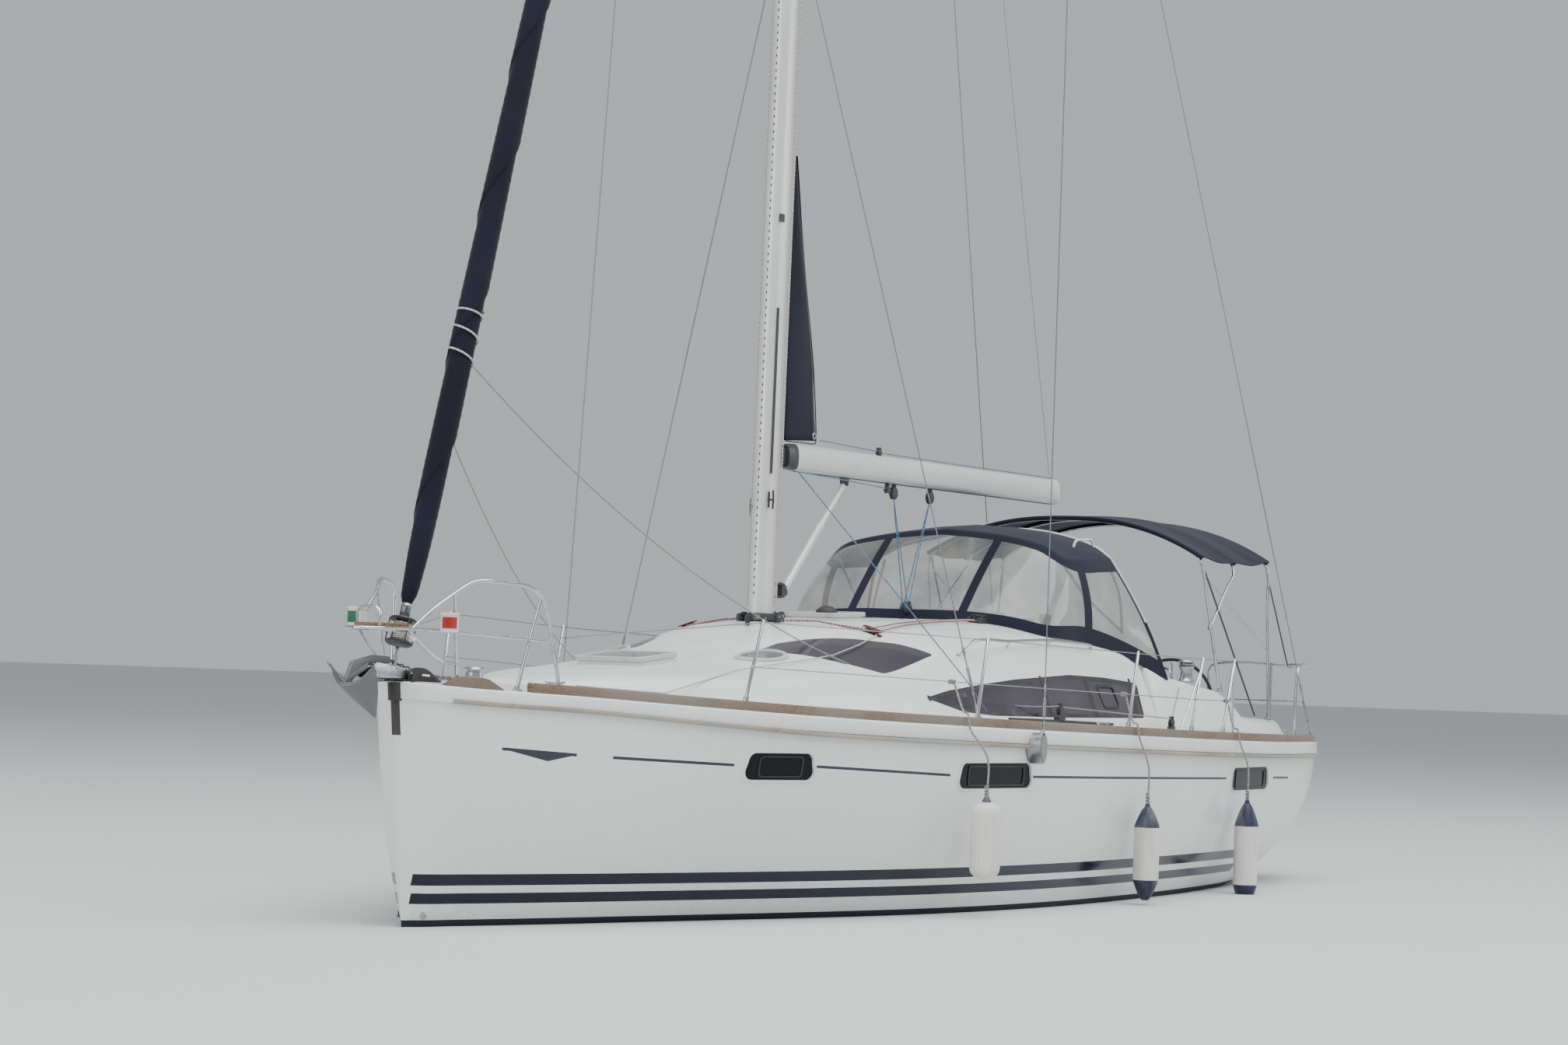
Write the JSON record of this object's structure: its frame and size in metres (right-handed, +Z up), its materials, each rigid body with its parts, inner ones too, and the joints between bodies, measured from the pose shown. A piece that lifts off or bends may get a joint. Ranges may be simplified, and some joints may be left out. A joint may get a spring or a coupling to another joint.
{
  "type": "deck-saloon sailing yacht",
  "caption": "Cruising sailing yacht afloat, with furled sails, raised saloon roof, canvas dodger and bimini, spade rudder, twin helms and fin keel.",
  "frame": {"origin": "on the centreline at the waterline, at mid length of the hull", "axes": "+X towards the bow, +Y to port, +Z up"},
  "size_m": [12.928, 4.415, 20.7207],
  "materials": {
    "gelcoat": "glossy white gelcoat over glass laminate",
    "antifoul": "matt dark blue antifouling",
    "navy_canvas": "navy acrylic canvas",
    "sailcloth": "navy UV cloth over rolled sail",
    "teak": "weathered oiled teak",
    "stainless": "polished stainless steel",
    "spar": "anodised and white painted aluminium",
    "tinted": "smoked acrylic",
    "galvanised": "galvanised steel",
    "vinyl": "inflated white vinyl",
    "engine_grey": "grey paint",
    "bronze": "bronze",
    "varnish": "varnished joinery"
  },
  "bodies": {
    "yacht": {"hull": "gelcoat", "deck": "gelcoat", "keel": "antifoul", "saildrive_leg": "engine_grey", "engine": "engine_grey", "coachroof": "gelcoat", "companionway_steps": "varnish", "cockpit": "gelcoat", "bow_roller": "stainless", "anchor": "galvanised", "pulpit": "stainless", "bow_seat": "teak", "mast": "spar", "forestay_toggle": "stainless", "dodger": "navy_canvas", "bimini": "navy_canvas", "bimini_frame": "stainless", "fender_1": "vinyl", "fender_2": "vinyl", "fender_3": "vinyl", "toe_rail_port": "teak", "rubbing_strake_port": "teak", "side_window_port": "tinted", "skylight_port": "tinted", "pedestal_port": "gelcoat", "guardrail_port": "stainless", "pushpit_port": "stainless", "cap_shroud_port": "stainless", "lower_shroud_port": "stainless", "backstay_port": "stainless", "handrail_port": "stainless", "winch_primary_port": "stainless", "winch_roof_port": "stainless", "toe_rail_stbd": "teak", "rubbing_strake_stbd": "teak", "side_window_stbd": "tinted", "skylight_stbd": "tinted", "pedestal_stbd": "gelcoat", "guardrail_stbd": "stainless", "pushpit_stbd": "stainless", "cap_shroud_stbd": "stainless", "lower_shroud_stbd": "stainless", "backstay_stbd": "stainless", "handrail_stbd": "stainless", "winch_primary_stbd": "stainless", "winch_roof_stbd": "stainless"},
    "rudder": {"rudder": "antifoul"},
    "propeller": {"propeller": "bronze"},
    "wheel_port": {"wheel_port": "stainless"},
    "wheel_stbd": {"wheel_stbd": "stainless"},
    "boom": {"boom": "spar", "vang": "spar", "mainsail_tab": "sailcloth"},
    "genoa_furler": {"furled_genoa": "sailcloth"},
    "sliding_hatch": {"sliding_hatch": "tinted"},
    "fore_hatch": {"fore_hatch": "tinted"},
    "roof_hatch": {"roof_hatch": "tinted"}
  },
  "joints": [
    {"name": "rudder_turn", "type": "hinge", "parent": "yacht", "child": "rudder", "pos_m": [-5.15, 0, 0], "axis": [0, 0, 1], "range_deg": [-35, 35]},
    {"name": "wheel_port_turn", "type": "hinge", "parent": "yacht", "child": "wheel_port", "pos_m": [-4.64, 0.8, 1.53], "axis": [1, 0, 0], "range_deg": [-450, 450]},
    {"name": "wheel_stbd_turn", "type": "hinge", "parent": "yacht", "child": "wheel_stbd", "pos_m": [-4.64, -0.8, 1.53], "axis": [1, 0, 0], "range_deg": [-450, 450]},
    {"name": "propeller_spin", "type": "hinge", "parent": "yacht", "child": "propeller", "pos_m": [-3.05, 0, -0.905], "axis": [1, 0, 0], "continuous": true},
    {"name": "boom_swing", "type": "hinge", "parent": "yacht", "child": "boom", "pos_m": [1.18, 0, 3.35], "axis": [0, 0, 1], "range_deg": [-70, 70]},
    {"name": "genoa_furl", "type": "hinge", "parent": "yacht", "child": "genoa_furler", "pos_m": [6.215, 0, 1.64], "axis": [-0.297, 0, 0.9549], "continuous": true},
    {"name": "companion_slide", "type": "slide", "parent": "yacht", "child": "sliding_hatch", "axis": [1, 0, 0], "range_m": [0, 0.55]},
    {"name": "fore_hatch_lift", "type": "hinge", "parent": "yacht", "child": "fore_hatch", "pos_m": [3.61, 0, 1.75], "axis": [0, 1, 0], "range_deg": [0, 100]},
    {"name": "roof_hatch_lift", "type": "hinge", "parent": "yacht", "child": "roof_hatch", "pos_m": [0.59, 0, 2.15], "axis": [0, 1, 0], "range_deg": [0, 80]}
  ],
  "couplings": [
    {"joint": "wheel_port_turn", "follows": "rudder_turn", "ratio": 12.8},
    {"joint": "wheel_stbd_turn", "follows": "rudder_turn", "ratio": 12.8}
  ]
}
